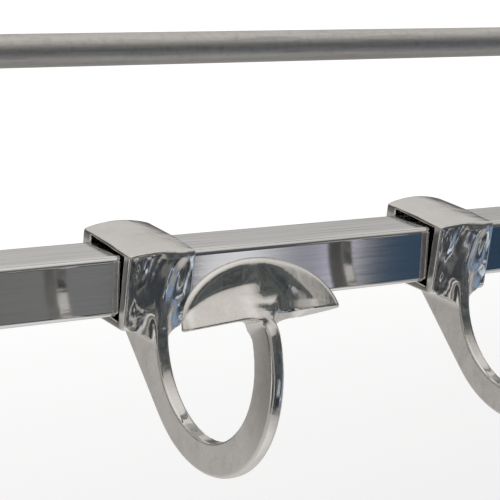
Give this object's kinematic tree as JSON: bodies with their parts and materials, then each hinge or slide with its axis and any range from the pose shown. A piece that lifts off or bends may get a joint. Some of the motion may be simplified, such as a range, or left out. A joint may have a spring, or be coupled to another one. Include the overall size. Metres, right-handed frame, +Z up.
{
  "type": "wall hook rack",
  "caption": "Wall rack with a polished square bar that carries sliding cast ring hooks with half-moon ends, and a round tube rail above it, on end brackets.",
  "frame": {"origin": "centre of the rectangle of four wall screw holes, on the wall face", "axes": "+X along the bar to the right as seen from the room, +Y into the wall, +Z up"},
  "size_m": [0.804, 0.1649, 0.1796],
  "materials": {
    "bar_chrome": "mirror polished",
    "hook_casting": "hand polished casting",
    "rail_steel": "dull brushed",
    "bracket_steel": "satin",
    "screw_steel": "machined"
  },
  "bodies": {
    "rack_frame": {"wall_plate_left": "bracket_steel", "wall_plate_right": "bracket_steel", "bar_socket_left": "bracket_steel", "bar_socket_right": "bracket_steel", "rail_socket_left": "bracket_steel", "rail_socket_right": "bracket_steel", "square_bar": "bar_chrome", "round_rail": "rail_steel", "bar_grub_screw_left": "screw_steel", "bar_grub_screw_right": "screw_steel", "rail_grub_screw_left": "screw_steel", "rail_grub_screw_right": "screw_steel", "arm_screws_left": "screw_steel", "arm_screws_right": "screw_steel"},
    "hook_1_body": {"hook_1": "hook_casting"},
    "hook_2_body": {"hook_2": "hook_casting"},
    "hook_3_body": {"hook_3": "hook_casting"},
    "hook_4_body": {"hook_4": "hook_casting"},
    "hook_5_body": {"hook_5": "hook_casting"}
  },
  "joints": [
    {"name": "hook_1_slide", "type": "slide", "parent": "rack_frame", "child": "hook_1_body", "axis": [1, 0, 0], "range_m": [-0.038, 0.038]},
    {"name": "hook_2_slide", "type": "slide", "parent": "rack_frame", "child": "hook_2_body", "axis": [1, 0, 0], "range_m": [-0.038, 0.038]},
    {"name": "hook_3_slide", "type": "slide", "parent": "rack_frame", "child": "hook_3_body", "axis": [1, 0, 0], "range_m": [-0.038, 0.038]},
    {"name": "hook_4_slide", "type": "slide", "parent": "rack_frame", "child": "hook_4_body", "axis": [1, 0, 0], "range_m": [-0.038, 0.038]},
    {"name": "hook_5_slide", "type": "slide", "parent": "rack_frame", "child": "hook_5_body", "axis": [1, 0, 0], "range_m": [-0.038, 0.038]}
  ]
}
